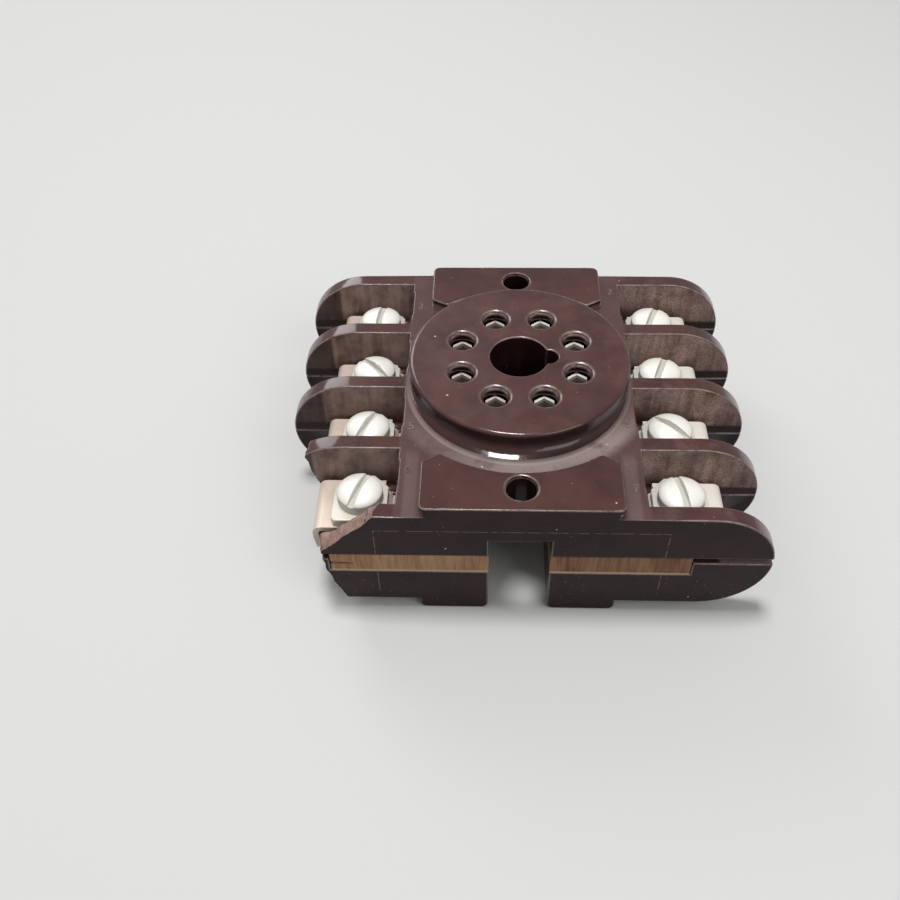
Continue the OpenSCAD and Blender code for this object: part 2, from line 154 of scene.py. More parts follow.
class Bench:
    """The node tree of one material, and the way every node of it is made."""

    def __init__(self, name: str) -> None:
        """Starts an empty material.

        Args:
            name: The material's name.
        """
        self.material = bpy.data.materials.new(name)
        self.material.use_nodes = True
        self.tree = self.material.node_tree
        self.tree.nodes.clear()
        self.output = self.node("ShaderNodeOutputMaterial")

    def node(
        self,
        kind: str,
        settings: dict[str, Any] | None = None,
        sockets: dict[str | int, Any] | None = None,
    ) -> bpy.types.Node:
        """Makes one node.

        Args:
            kind: The node's type.
            settings: Its own properties, which are set before its sockets.
            sockets: A number, a colour, a value or another node's socket for each input.

        Returns:
            The new node.
        """
        made = self.tree.nodes.new(kind)
        for key, setting in (settings or {}).items():
            setattr(made, key, setting)
        for key, given in (sockets or {}).items():
            entry = made.inputs[key]
            source = given.socket if isinstance(given, Value) else given
            if isinstance(source, bpy.types.NodeSocket):
                self.tree.links.new(source, entry)
            elif entry.type == "RGBA":
                entry.default_value = (*source, 1.0)
            else:
                entry.default_value = source
        return made

    def maths(self, operation: str, *terms: Number) -> Value:
        """One Math node.

        Args:
            operation: The node's operation.
            terms: Its inputs, in order.

        Returns:
            Its result.
        """
        made = self.node("ShaderNodeMath", {"operation": operation}, dict(enumerate(terms)))
        return Value(self, made.outputs[0])

    def rise(self, value: Value, low: float, high: float) -> Value:
        """A smooth step from 0 at low to 1 at high."""
        made = self.node(
            "ShaderNodeMapRange",
            {"interpolation_type": "SMOOTHSTEP"},
            {"Value": value, "From Min": low, "From Max": high},
        )
        return Value(self, made.outputs[0])

    def place(self) -> bpy.types.NodeSocket:
        """The point on the piece, in millimetres."""
        source = self.node("ShaderNodeTexCoord").outputs["Object"]
        return self.stretch(source, (1 / MM, 1 / MM, 1 / MM))

    def stretch(self, point: bpy.types.NodeSocket, by: Colour) -> bpy.types.NodeSocket:
        """A point with each coordinate multiplied."""
        made = self.node("ShaderNodeVectorMath", {"operation": "MULTIPLY"}, {0: point, 1: by})
        return made.outputs[0]

    def split(self, vector: bpy.types.NodeSocket) -> tuple[Value, Value, Value]:
        """The three coordinates of a vector."""
        made = self.node("ShaderNodeSeparateXYZ", None, {0: vector})
        return tuple(Value(self, made.outputs[i]) for i in range(3))

    def facing(self) -> tuple[Value, Value, Value]:
        """The direction in which the surface faces."""
        return self.split(self.node("ShaderNodeNewGeometry").outputs["Normal"])

    def noise(
        self, point: bpy.types.NodeSocket, scale: float, detail: float = 2.0, rough: float = 0.5
    ) -> Value:
        """Cloudy noise around 0.5, with a feature about every 1 / scale millimetres."""
        made = self.node(
            "ShaderNodeTexNoise",
            None,
            {"Vector": point, "Scale": scale, "Detail": detail, "Roughness": rough},
        )
        return Value(self, made.outputs[0])

    def specks(self, point: bpy.types.NodeSocket, scale: float, share: float, size: float) -> Value:
        """Scattered round specks.

        Args:
            point: The point on the piece.
            scale: Cells for each millimetre.
            share: The share of the cells that hold a speck.
            size: The specks' radius, as a share of a cell.

        Returns:
            A mask that is 1 inside a speck.
        """
        cells = self.node("ShaderNodeTexVoronoi", None, {"Vector": point, "Scale": scale})
        near = Value(self, cells.outputs["Distance"]).over(size, 0.6 * size)
        lot = self.split(cells.outputs["Color"])[0]
        return near * lot.over(1.0 - share, 1.0 - 0.8 * share)

    def mix(
        self, mask: Number, low: Colour | bpy.types.NodeSocket, high: Colour | bpy.types.NodeSocket
    ) -> bpy.types.NodeSocket:
        """A colour that goes from low to high as the mask goes from 0 to 1."""
        made = self.node("ShaderNodeMix", {"data_type": "RGBA"}, {0: mask, 6: low, 7: high})
        return made.outputs[2]

    def bump(self, height: Value) -> bpy.types.NodeSocket:
        """A surface normal from a height in millimetres."""
        made = self.node("ShaderNodeBump", None, {"Distance": MM, "Height": height})
        return made.outputs[0]

    def surface(self, **sockets: Any) -> bpy.types.Material:
        """Ends the material in one Principled shader.

        Args:
            sockets: Its inputs, with underscores for the spaces in their names.

        Returns:
            The material.
        """
        named = {key.replace("_", " "): given for key, given in sockets.items()}
        shader = self.node("ShaderNodeBsdfPrincipled", None, named)
        self.tree.links.new(shader.outputs[0], self.output.inputs[0])
        return self.material


# ---------------------------------------------------------------------------
# Finishes
# ---------------------------------------------------------------------------


@dataclass(frozen=True)
class Phenolic:
    """Polished dark brown phenolic: dusty where it looks up, with painted shade on its upright faces,
    a painted reflection on the disc's side and a painted highlight along the joint at the tips.
    """

    name: str = "phenolic"
    deep: Colour = (0.050, 0.0190, 0.0165)
    warm: Colour = (0.080, 0.0300, 0.0250)
    # Painted shade: darker copies of the body colour for the upright faces.
    side_deep: Colour = (0.018, 0.0072, 0.0068)
    side_warm: Colour = (0.030, 0.0120, 0.0110)
    # Also the colour of the painted reflection on the disc's side and of the painted highlight along
    # the joint at the tips.
    dust: Colour = (0.40, 0.33, 0.305)
    bay_dust: Colour = (0.50, 0.355, 0.295)
    speck: Colour = (0.80, 0.74, 0.70)
    top: float = 20.0
    disc_top: float = 25.0
    disc_r: float = 15.5
    relief_r: float = 18.85
    bay_x: float = 16.3
    front_y: float = -25.2
    insert_z: float = 17.2
    insert_x: float = 19.1
    seam_z: float = 11.0
    tip_x: float = 26.0
    strip_end: float = 28.2

    def film(self, bench: Bench, point: bpy.types.NodeSocket) -> Value:
        """How thick the grey dust lies on the faces that look up, from 0 to 1, with a painted
        reflection added.

        It lies thickest in the round relief in front of the disc and in a thin line round the
        disc's foot, and a paler band lies beside the blocks. A painted reflection of a bright light
        lies as a pale patch on the right of the disc's upright side.
        disc's foot and beside the blocks, and in a smear on the right of the disc's side.
        """
        x, y, z = bench.split(point)
        nz = bench.facing()[2]
        up = nz.over(0.35, 0.95)
        upright = abs(nz).over(0.5, 0.1)
        radius = (x * x + y * y) ** 0.5
        cloud = bench.noise(point, 0.35, 4.0, 0.6)
        grain = bench.noise(point, 5.0, 3.0, 0.7)
        inner = abs(x).over(self.bay_x + 0.4, self.bay_x - 0.2)
        level = z.near(self.top, 0.5) * up
        plateau = level * inner
        relief = plateau * radius.over(self.relief_r + 0.5, self.disc_r + 1.8)
        front = y.over(-4.0, -13.0) * (x.over(-13.0, 0.0) * 0.40 + 0.14) + 0.05
        foot = plateau * radius.near(self.disc_r + 0.25, 0.5) * y.over(8.0, -6.0) * 0.32
        beside = plateau * abs(x).near(14.4, 1.2) * y.over(-13.0, -15.5) * 0.11
        tops = level * (1.0 - inner) * cloud.over(0.45, 0.7) * (x.over(0.0, 20.0) * 0.07 + 0.01)
        disc = up * z.over(self.disc_top - 0.6, self.disc_top - 0.3)
        thin = disc * (cloud.over(0.35, 0.7) * 0.035 + x.over(6.0, -14.0) * 0.03)
        # Painted reflection: a pale patch on the right of the disc's upright side stands for a
        # reflected light, over a faint even dust on that side.
        side = upright * radius.near(self.disc_r, 1.2) * z.over(20.4, 21.0)
        reflection_and_side_dust = side * (x.near(11.8, 3.4) * y.over(-3.0, -6.5) * 0.34 + 0.02)
        thick = relief * front * cloud.over(0.15, 0.5) + foot + beside + plateau * 0.06
        return (thick + tops + thin + reflection_and_side_dust) * (grain * 0.9 + 0.55)

    def bay_film(self, bench: Bench, point: bpy.types.NodeSocket) -> Value:
        """How thick the brown dust lies on the barrier walls inside the bays, from 0 to 1."""
        x, y, z = bench.split(point)
        upright = abs(bench.facing()[2]).over(0.5, 0.1)
        cloud = bench.noise(point, 0.35, 4.0, 0.6)
        grain = bench.noise(point, 4.0, 3.0, 0.75)
        smears = bench.noise(bench.stretch(point, (1.0, 1.0, 0.12)), 0.7, 3.0, 0.55)
        bay = abs(x).over(self.bay_x - 0.2, self.bay_x + 0.4) * z.over(12.3, 13.0) * upright
        inside = bay * abs(y).over(-self.front_y - 0.1, -self.front_y - 0.3)
        covered = x.over(-self.strip_end - 0.5, -self.strip_end)
        share = covered * 0.34 + x.over(10.0, 20.0) * 0.06 + 0.14
        right = x.over(10.0, 20.0)
        streaky = cloud.over(0.25, 0.75) * 0.7 + smears.over(0.35, 0.65) * 0.5 + 0.35
        return inside * share * streaky * (grain.over(0.35, 0.65) * right * 0.7 + 1.0 - right * 0.3)

    def hairlines(self, bench: Bench, point: bpy.types.NodeSocket) -> Value:
        """Thin raised hairline marks that the mould's inserts leave, a painted highlight along the
        joint at the tips, and scuffs.
        """
        x, y, z = bench.split(point)
        face = abs(y).over(-self.front_y - 0.05, -self.front_y - 0.02)
        level = z.near(self.insert_z, 0.09) * abs(x).over(self.insert_x, self.insert_x - 0.05)
        edge = abs(x).near(self.insert_x, 0.09) * z.over(3.8, 3.9) * z.over(17.25, 17.2)
        # Painted highlight: a pale line along the joint on the tips.
        joint_highlight = z.near(self.seam_z, 0.16) * abs(x).over(self.tip_x, self.tip_x + 0.8)
        broken = bench.noise(point, 1.1, 3.0).over(0.36, 0.52) * 0.75
        wander = bench.noise(point, 0.55, 2.0, 0.4).near(0.5, 0.005)
        patch = bench.noise(point, 0.22, 1.0).over(0.60, 0.66)
        scuffs = wander * patch * bench.noise(point, 2.5, 2.0).over(0.45, 0.6)
        return (level + edge) * face * broken + joint_highlight * 0.8 + scuffs * 0.6

    def material(self) -> bpy.types.Material:
        """Builds the finish."""
        bench = Bench(self.name)
        point = bench.place()
        up = bench.facing()[2].over(0.2, 0.8)
        cloud = bench.noise(point, 0.16, 4.0, 0.55).over(0.3, 0.7)
        film = self.film(bench, point)
        bay_film = self.bay_film(bench, point)
        marks_and_highlight = self.hairlines(bench, point)
        patchy = bench.noise(point, 0.12, 3.0).over(0.4, 0.6)
        fine = bench.specks(point, 1.7, 0.10, 0.13) * patchy
        specks = bench.specks(point, 0.42, 0.16, 0.07) + fine * 0.6
        specks = specks + bench.specks(point, 3.3, 0.22, 0.2) * bay_film
        top_body = bench.mix(cloud, self.deep, self.warm)
        # Upright faces take the darker body: partly a thin dust lightening the tops, partly painted
        # shade on the upright faces.
        shaded_side_body = bench.mix(cloud, self.side_deep, self.side_warm)
        body = bench.mix(up, shaded_side_body, top_body)
        browned = bench.mix(bay_film, body, self.bay_dust)
        # Dust, plus the painted reflection on the disc's side.
        dusty = bench.mix(film, browned, self.dust)
        # Raised hairline marks and scuffs, and the painted highlight along the joint at the tips, in
        # the pale colour.
        marked = bench.mix(marks_and_highlight * 0.55, dusty, self.dust)
        colour = bench.mix(specks * 0.75, marked, self.speck)
        smudge = bench.noise(point, 0.5, 3.0, 0.6)
        peel = bench.noise(point, 1.3, 2.0) * 0.010 + bench.noise(point, 9.0, 2.0) * 0.0015
        rough = smudge * 0.18 + film * 0.6 + bay_film * 0.5 + specks * 0.4 + 0.16
        return bench.surface(
            Base_Color=colour,
            Roughness=rough,
            Specular_IOR_Level=0.12,
            Coat_Weight=(up * 0.75 + 0.10) * (film + bay_film).over(0.4, 0.05),
            Coat_Roughness=0.11,
            Normal=bench.bump(peel + marks_and_highlight * 0.03 + specks * 0.02),
        )


@dataclass(frozen=True)
class WornEdge:
    """Phenolic worn pale along its edges, with a painted highlight added on the edges that face up and
    to the front.
    """

    name: str = "worn_edge"
    body: Colour = (0.055, 0.021, 0.018)
    rubbed: Colour = (0.34, 0.255, 0.235)
    least: float = 0.16
    # Share of the painted highlight on edges that face up and to the front; least is the even wearing
    # on every edge.
    front: float = 0.55

    def material(self) -> bpy.types.Material:
        """Builds the finish."""
        bench = Bench(self.name)
        point = bench.place()
        ny, nz = bench.facing()[1:]
        broken = bench.noise(point, 0.9, 4.0, 0.65).over(0.30, 0.62) * 0.75 + 0.25
        # Painted highlight on the up-and-front edges, over a pale wearing on all edges.
        wear_and_highlight = ((-ny).over(0.05, 0.5) * nz.over(0.1, 0.5) * self.front + self.least) * broken
        return bench.surface(
            Base_Color=bench.mix(wear_and_highlight * nz.over(-0.4, 0.1), self.body, self.rubbed),
            Roughness=broken * 0.1 + 0.22,
            Specular_IOR_Level=0.5,
            Coat_Weight=0.6,
            Coat_Roughness=0.15,
        )


@dataclass(frozen=True)
class RawBreak:
    """Matt, paler core of the phenolic where it has broken."""

    name: str = "raw_break"
    deep: Colour = (0.20, 0.120, 0.098)
    pale: Colour = (0.40, 0.270, 0.230)

    def material(self) -> bpy.types.Material:
        """Builds the finish."""
        bench = Bench(self.name)
        point = bench.place()
        cloud = bench.noise(point, 0.7, 5.0, 0.65)
        grain = bench.noise(point, 6.0, 4.0, 0.7)
        shade = cloud.over(0.3, 0.7) * 0.7 + grain.over(0.3, 0.75) * 0.3
        height = cloud * 0.10 + grain * 0.04
        return bench.surface(
            Base_Color=bench.mix(shade, self.deep, self.pale),
            Roughness=0.82,
            Specular_IOR_Level=0.3,
            Normal=bench.bump(height),
        )


@dataclass(frozen=True)
class PaperLaminate:
    """Sawn edge of pressed paper laminate: upright saw marks and a pale lower arris."""

    name: str
    deep: Colour
    pale: Colour
    low_z: float
    arris: Colour = (0.70, 0.49, 0.32)
    stain: Colour = (0.13, 0.065, 0.04)

    def material(self) -> bpy.types.Material:
        """Builds the finish."""
        bench = Bench(self.name)
        point = bench.place()
        z = bench.split(point)[2]
        upright = bench.stretch(point, (1.0, 1.0, 0.07))
        flat = bench.stretch(point, (0.12, 0.12, 5.0))
        saw = bench.noise(upright, 2.2, 4.0, 0.65)
        broad = bench.noise(upright, 0.35, 2.0)
        plies = bench.noise(flat, 1.0, 2.0)
        shade = saw.over(0.38, 0.62) * 0.55 + broad.over(0.35, 0.65) * 0.35 + plies * 0.1
        body = bench.mix(shade, self.deep, self.pale)
        stained = bench.mix(bench.noise(upright, 1.1, 3.0).over(0.60, 0.72) * 0.55, body, self.stain)
        edge = z.over(self.low_z + 0.42, self.low_z + 0.28)
        colour = bench.mix(edge * 0.85, stained, self.arris)
        return bench.surface(
            Base_Color=colour,
            Roughness=0.72,
            Specular_IOR_Level=0.3,
            Normal=bench.bump(saw * 0.05 + plies * 0.02),
        )


@dataclass(frozen=True)
class Plate:
    """Dull plated metal with a drawn grain and stains, darker towards a low level where asked, and
    with painted shade deep in the pin-hole wells.
    """

    name: str
    bright: Colour
    dull: Colour
    grime: Colour = (0.23, 0.20, 0.17)
    grain: Colour = (0.15, 1.0, 1.0)
    metallic: float = 0.75
    rough: float = 0.36
    stains: float = 0.3
    low_from: float = 0.0
    low_to: float = 0.0
    low_share: float = 0.0
    well_z: float = 0.0
    well_x: float = 0.0

    def material(self) -> bpy.types.Material:
        """Builds the finish."""
        bench = Bench(self.name)
        point = bench.place()
        z = bench.split(point)[2]
        drawn = bench.noise(bench.stretch(point, self.grain), 4.0, 3.0, 0.6)
        cloud = bench.noise(point, 0.6, 3.0, 0.6)
        body = bench.mix(drawn * 0.5 + cloud * 0.5, self.dull, self.bright)
        spots = bench.noise(point, 1.7, 4.0, 0.65).over(0.58, 0.75) * self.stains
        dirt_and_shade = spots
        # Darker towards a low level, such as the floor of the screw slot.
        if self.low_share:
            dirt_and_shade = spots + z.over(self.low_from, self.low_to) * self.low_share
        # Painted shade: the strip deep inside a pin-hole well is darkened.
        if self.well_x:
            inside = abs(bench.split(point)[0]).over(self.well_x, self.well_x - 0.5)
            dirt_and_shade = spots + inside * z.over(self.well_z, self.well_z - 0.3) * 0.85
        return bench.surface(
            Base_Color=bench.mix(dirt_and_shade, body, self.grime),
            Roughness=drawn * 0.14 + dirt_and_shade * 0.3 + self.rough,
            Metallic=self.metallic - dirt_and_shade * 0.5,
            Normal=bench.bump(drawn * 0.012 + cloud * 0.02),
        )


@dataclass(frozen=True)
class PaleFloor:
    """Plain standing surface: pale to the eye and in reflections, darker in the light it sends up."""

    name: str = "pale_floor"
    seen: Colour = (0.62, 0.62, 0.61)
    lit: Colour = (0.20, 0.20, 0.20)

    def material(self) -> bpy.types.Material:
        """Builds the finish."""
        bench = Bench(self.name)
        path = bench.node("ShaderNodeLightPath")
        camera, glossy, through = (
            Value(bench, path.outputs[f"Is {kind} Ray"])
            for kind in ("Camera", "Glossy", "Transmission")
        )
        return bench.surface(
            Base_Color=bench.mix(camera + glossy + through, self.lit, self.seen),
            Roughness=0.85,
            Specular_IOR_Level=0.2,
        )


# ---------------------------------------------------------------------------
# Meshes
# ---------------------------------------------------------------------------


@dataclass
class Waviness:
    """A rough height made of many crossing waves with random directions.

    height(p) = sum over k of a_k sin(w_k . p + f_k), with each a_k about 1 / |w_k|.
    """

    seed: int
    waves: int = 28
    longest: float = 3.2
    shortest: float = 0.35

    def height(self, points: np.ndarray) -> np.ndarray:
        """Heights at points.

        Args:
            points: One row for each point, in millimetres.

        Returns:
            One height for each point, mostly within -1 to 1.
        """
        rng = np.random.default_rng(self.seed)
        length = self.longest * (self.shortest / self.longest) ** rng.random(self.waves)
        heading = rng.normal(size=(self.waves, 3))
        heading /= np.linalg.norm(heading, axis=1, keepdims=True)
        phase = rng.random(self.waves) * 2 * math.pi
        share = length / np.sqrt((length**2).sum())
        turn = points @ (heading * (2 * math.pi / length)[:, None]).T + phase
        return np.sin(turn) @ share * math.sqrt(2)


@dataclass
class BrokenWalls:
    """Tells the broken faces of the barrier walls from their whole ones."""

    left: float = -33.4
    right: float = -17.9
    low: float = 1.5
    high: float = 20.5
    fronts: tuple[float, ...] = (-25.2, -13.2)
    wall_t: float = 2.4
    tip: tuple[float, float] = (-24.4, 11.0)
    tip_r: float = 9.0
    levels: tuple[float, ...] = (20.0, 12.0, 11.0, 8.5, 2.0)
    backs: tuple[float, ...] = (-24.2, -23.2)
    near: float = 0.005

    def holds(self, face: bmesh.types.BMFace) -> bool:
        """Says whether a face is broken.

        It is if its middle lies inside a wall's thickness, and not on the wall's round end, a
        level face or the back of a groove.

        Args:
            face: The face, in metres.

        Returns:
            Whether it is part of a break.
        """
        x, y, z = face.calc_center_median() / MM
        deep = any(f + self.near < y < f + self.wall_t - self.near for f in self.fronts)
        if not (deep and self.left < x < self.right and self.low < z < self.high):
            return False
        off_tip = math.hypot(x - self.tip[0], z - self.tip[1]) - self.tip_r
        level = abs(face.normal.z) > 0.999 and any(abs(z - v) < 2 * self.near for v in self.levels)
        back = abs(face.normal.y) > 0.999 and any(abs(y - v) < self.near for v in self.backs)
        return not (abs(off_tip) < 10 * self.near or level or back)


@dataclass
class DressedCopy:
    """A copy of a CAD node with its doubles merged and its edges rounded, which replaces it."""

    node: str
    body: str
    slot: str
    finishes: list[bpy.types.Material]
    edge_r: float
    segments: int = 2
    sharp_deg: float = 32.0
    broken: "BrokenWalls | None" = None
    break_depth: float = 0.09
    break_grain: float = 0.3
    break_seed: int = 11
    even_turns: int = 30
    rim_turns: int = 5
    even_share: float = 0.6
    double: float = 0.002
    sliver: float = 0.05
    edge_finish: int = -1
    shank_r: float = 0.0
    thread_r: float = 1.75

    def merged(self, source: bpy.types.Object) -> bmesh.types.BMesh:
        """The node's triangles as one closed surface of flat faces.

        Args:
            source: The node's object.

        Returns:
            A new mesh.
        """
        made = bmesh.new()
        made.from_mesh(source.data)
        bmesh.ops.remove_doubles(made, verts=made.verts, dist=self.double * MM)
        bmesh.ops.dissolve_degenerate(made, edges=made.edges, dist=2 * self.double * MM)
        bmesh.ops.dissolve_limit(
            made,
            angle_limit=math.radians(0.4),
            verts=made.verts,
            edges=made.edges,
        )
        return made

    def roughen(self, made: bmesh.types.BMesh) -> None:
        """Splits the broken faces finely, evens their steps and pushes them in and out.

        Points on the walls' own faces stay in them: the push has no part along Y, and none
        along Z where the point is also on a level face.
        """
        chosen = [face for face in made.faces if self.broken.holds(face)]
        split = bmesh.ops.triangulate(made, faces=chosen)["faces"]
        for _ in range(4):
            edges = {edge for face in split for edge in face.edges}
            edges = {edge for edge in edges if edge.calc_length() > self.break_grain * MM}
            if not edges:
                break
            bmesh.ops.subdivide_edges(made, edges=list(edges), cuts=1)
            split = [face for face in made.faces if self.broken.holds(face)]
            bmesh.ops.triangulate(made, faces=split)
            split = [face for face in made.faces if self.broken.holds(face)]
        for face in split:
            face.material_index = 1
        made.verts.index_update()
        points = sorted({vert for face in split for vert in face.verts}, key=lambda v: v.index)
        self.even_out(points)
        made.normal_update()
        places = np.array([vert.co for vert in points]) / MM
        heights = Waviness(self.break_seed).height(places) * self.break_depth * MM
        for vert, height in zip(points, heights, strict=True):
            push = sum((f.normal for f in vert.link_faces if f.material_index == 1), Vector())
            push.y = 0.0
            if any(abs(f.normal.z) > 0.99 for f in vert.link_faces if f.material_index == 0):
                push.z = 0.0
            if push.length > 0:
                vert.co += push.normalized() * float(height)

    def even_out(self, points: list[bmesh.types.BMVert]) -> None:
        """Moves each broken point towards the mean of its neighbours, many times over.

        A point on the rim of the break moves only along the rim and fewer times, and a point
        where the rim turns on to another face stays.

        Args:
            points: The points of the broken faces.
        """
        place = {vert: number for number, vert in enumerate(points)}
        whole = [
            {tuple(round(c, 1) for c in f.normal) for f in vert.link_faces if f.material_index == 0}
            for vert in points
        ]
        pairs = []
        for vert in points:
            walls = len(whole[place[vert]])
            for edge in vert.link_edges:
                raw = {face.material_index for face in edge.link_faces}
                follows = raw == {1} if walls == 0 else raw == {0, 1} and walls == 1
                if follows:
                    pairs.append((place[vert], place[edge.other_vert(vert)]))
        here, there = np.array(pairs).T
        count = np.bincount(here, minlength=len(points))[:, None]
        rim = np.array([len(walls) == 1 for walls in whole])[:, None]
        spot = np.array([vert.co for vert in points])
        for turn in range(self.even_turns):
            mean = np.zeros_like(spot)
            np.add.at(mean, here, spot[there])
            mean = np.divide(mean, count, out=spot.copy(), where=count > 0)
            moves = (count > 0) & (~rim | (turn < self.rim_turns))
            spot = np.where(moves, spot + (mean - spot) * self.even_share, spot)
        for vert, moved in zip(points, spot, strict=True):
            vert.co = Vector(moved)

    def thin_shank(self, made: bmesh.types.BMesh) -> None:
        """Draws the shank's points, which lie at the thread's radius, in to its core."""
        corners = [vert.co for vert in made.verts]
        middle = (Vector(map(max, *corners)) + Vector(map(min, *corners))) / 2
        for vert in made.verts:
            out = (vert.co - middle).to_2d()
            if abs(out.length / MM - self.thread_r) < 0.02:
                vert.co.xy = middle.xy + out * (self.shank_r / self.thread_r)

    def is_sliver(self, face: bmesh.types.BMFace) -> bool:
        """Says whether a triangle is too thin for its direction to be trusted."""
        if len(face.verts) != 3:
            return False
        longest = max(edge.calc_length() for edge in face.edges)
        return 2 * face.calc_area() / longest < self.sliver * MM

    def weigh(self, made: bmesh.types.BMesh) -> None:
        """Marks the sharp edges, and gives those that stand out a weight to round them by."""
        layer = made.edges.layers.float.new("bevel_weight_edge")
        limit = math.radians(self.sharp_deg)
        thin = {face for face in made.faces if self.is_sliver(face)}
        for edge in made.edges:
            if edge.calc_face_angle(0.0) < limit or thin.intersection(edge.link_faces):
                continue
            raw = [face.material_index == 1 for face in edge.link_faces]
            if all(raw):
                continue
            edge.smooth = False
            if edge.is_convex and not any(raw):
                edge[layer] = 1.0

    def build(self, frame: dict[str, Any]) -> bpy.types.Object:
        """Makes the piece and hides the node.

        Args:
            frame: The loaded frame.

        Returns:
            The finished piece.
        """
        made = self.merged(frame["nodes"][self.node])
        made.normal_update()
        if self.broken:
            self.roughen(made)
            made.normal_update()
        if self.shank_r:
            self.thin_shank(made)
            made.normal_update()
        self.weigh(made)
        for face in made.faces:
            face.smooth = True
        mesh = bpy.data.meshes.new(f"{self.node}_finished")
        made.to_mesh(mesh)
        made.free()
        piece = bpy.data.objects.new(f"{self.node}_finished", mesh)
        bpy.context.scene.collection.objects.link(piece)
        for finish in self.finishes:
            mesh.materials.append(finish)
        rounding = piece.modifiers.new("rounded_edges", "BEVEL")
        rounding.limit_method = "WEIGHT"
        rounding.width = self.edge_r * MM
        rounding.segments = self.segments
        rounding.use_clamp_overlap = False
        rounding.mark_sharp = False
        rounding.material = self.edge_finish
        level = piece.modifiers.new("level_faces", "WEIGHTED_NORMAL")
        level.weight = 100
        level.keep_sharp = False
        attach(piece, self.body)
        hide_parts(self.node)
        return piece


# ---------------------------------------------------------------------------
# Sub-assemblies
# ---------------------------------------------------------------------------


@dataclass
class Mouldings:
    """The upper moulding and the two base mouldings, with their rounded edges and the break."""

    edge_r: float = 0.22

    def build(self, frame: dict[str, Any]) -> list[bpy.types.Object]:
        """Makes the mouldings.

        Args:
            frame: The loaded frame.

        Returns:
            The finished pieces.
        """
        finishes = [Phenolic().material(), RawBreak().material(), WornEdge().material()]
        made = []
        for node in ("upper_moulding", "base_moulding_left", "base_moulding_right"):
            made.append(
                DressedCopy(
                    node=node,
                    body="socket",
                    slot="moulding",
                    finishes=finishes,
                    edge_r=self.edge_r,
                    broken=None if node == "base_moulding_right" else BrokenWalls(),
                    edge_finish=2,
                ).build(frame)
            )
        return made


@dataclass
class Numerals:
    """Small raised numerals on the top face, one beside each terminal."""

    x: float = 14.9
    left: tuple[tuple[str, float], ...] = (("3", 17.1), ("4", 1.9), ("5", -9.1), ("6", -17.0))
    right: tuple[tuple[str, float], ...] = (("2", 20.9), ("1", 6.0), ("8", -8.4), ("7", -20.0))
    size: float = 1.9
    low_z: float = 19.95
    high_z: float = 20.1

    def outline(self, numeral: str, x: float, y: float) -> bpy.types.Mesh:
        """One numeral's closed mesh, in its place.

        Args:
            numeral: The numeral.
            x: Its middle across the socket.
            y: Its middle from front to back.

        Returns:
            Its mesh, in metres.
        """
        text = bpy.data.curves.new(f"numeral_{numeral}", "FONT")
        text.body = numeral
        text.size = self.size * MM
        text.align_x = "CENTER"
        text.align_y = "CENTER"
        text.extrude = (self.high_z - self.low_z) / 2 * MM
        text.resolution_u = 3
        holder = bpy.data.objects.new(f"numeral_{numeral}", text)
        mesh = bpy.data.meshes.new_from_object(holder)
        bpy.data.objects.remove(holder)
        mesh.transform(Matrix.Translation(Vector((x, y, (self.low_z + self.high_z) / 2)) * MM))
        return mesh

    def build(self) -> bpy.types.Object:
        """Makes all the numerals as one piece."""
        joined = bmesh.new()
        for side, marks in ((Side.LEFT, self.left), (Side.RIGHT, self.right)):
            for numeral, y in marks:
                joined.from_mesh(self.outline(numeral, side.value * self.x, y))
        bmesh.ops.remove_doubles(joined, verts=joined.verts, dist=0.001 * MM)
        bmesh.ops.recalc_face_normals(joined, faces=joined.faces)
        mesh = bpy.data.meshes.new("terminal_numerals")
        joined.to_mesh(mesh)
        joined.free()
        # The numerals' pale colour is partly wearing and dust, partly a painted highlight for the
        # glints on the raised digits.
        mesh.materials.append(WornEdge(name="numerals", least=0.5, front=0.3).material())
        piece = bpy.data.objects.new("terminal_numerals", mesh)
        bpy.context.scene.collection.objects.link(piece)
        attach(piece, "socket")
        return piece


